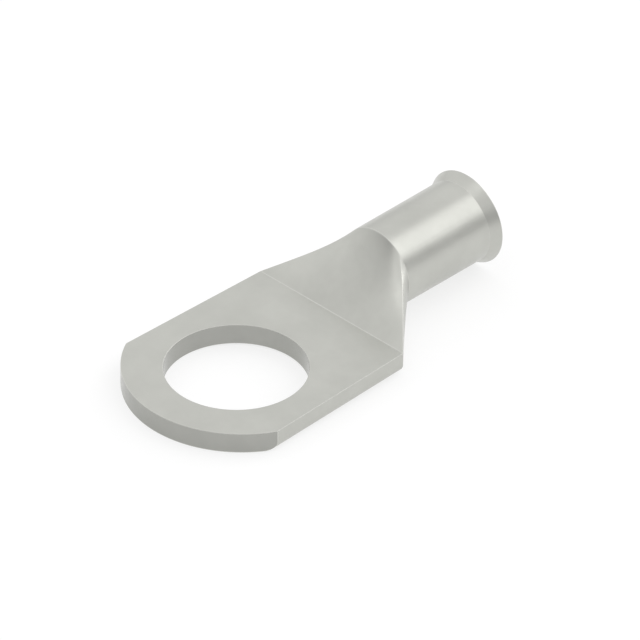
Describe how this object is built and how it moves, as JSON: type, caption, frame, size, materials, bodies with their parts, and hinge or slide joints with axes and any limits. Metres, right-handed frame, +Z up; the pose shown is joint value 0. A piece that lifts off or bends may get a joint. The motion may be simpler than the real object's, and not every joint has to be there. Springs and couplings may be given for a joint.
{
  "type": "ring terminal",
  "caption": "Bare tubular ring terminal: flat round-nosed palm with a stud hole, tapering into a round crimp barrel with a flared mouth.",
  "frame": {"origin": "centre of the stud hole, on the palm's underside", "axes": "+X along the barrel towards its flared mouth, +Z up through the stud hole, Y across the palm"},
  "size_m": [0.039, 0.019, 0.0089],
  "materials": {
    "tinned_copper": "satin tin plate on copper"
  },
  "bodies": {
    "root": {"ring_terminal": "tinned_copper"}
  },
  "joints": []
}
